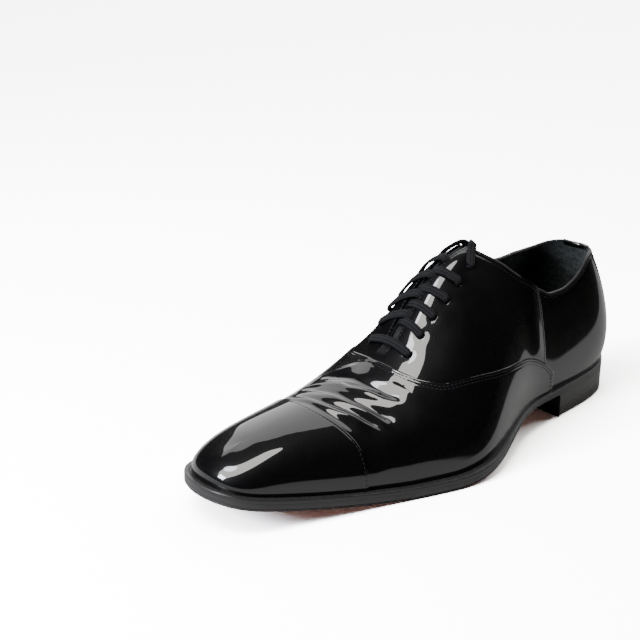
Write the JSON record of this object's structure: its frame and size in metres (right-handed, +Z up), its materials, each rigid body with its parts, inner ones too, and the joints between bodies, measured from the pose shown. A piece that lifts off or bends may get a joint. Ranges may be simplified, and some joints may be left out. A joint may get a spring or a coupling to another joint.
{
  "type": "oxford shoe",
  "caption": "Left lace-up dress shoe with a hollow patent leather upper, straight toe cap, closed lacing, welted leather sole and stacked heel.",
  "frame": {"origin": "on the ground under the middle of the shoe's bounding box", "axes": "+Z up from the ground, -Y towards the toe, +X towards the outer side of the left foot"},
  "size_m": [0.117, 0.3058, 0.1146],
  "materials": {
    "patent_leather": "black patent leather, mirror gloss coat",
    "tongue_leather": "black calf leather, low sheen",
    "insole_leather": "dark grey-green matte lining leather",
    "edge_leather": "black waxed and burnished edge leather",
    "sole_leather": "red-brown stained sole leather, satin",
    "heel_rubber": "dark brown-black heel rubber, matte",
    "lace_cotton": "black flat woven waxed cotton",
    "tip_plastic": "black clear-coated lace tip"
  },
  "bodies": {
    "root": {"upper": "patent_leather", "tongue": "tongue_leather", "insole": "insole_leather", "welt": "edge_leather", "outsole": "sole_leather", "heel_stack": "edge_leather", "top_lift": "heel_rubber", "lace_bar": "lace_cotton", "lace_crossing_1": "lace_cotton", "lace_crossing_2": "lace_cotton", "lace_crossing_3": "lace_cotton", "lace_crossing_4": "lace_cotton", "lace_end_outer": "lace_cotton", "lace_end_inner": "lace_cotton", "lace_tip_outer": "tip_plastic", "lace_tip_inner": "tip_plastic"}
  },
  "joints": []
}
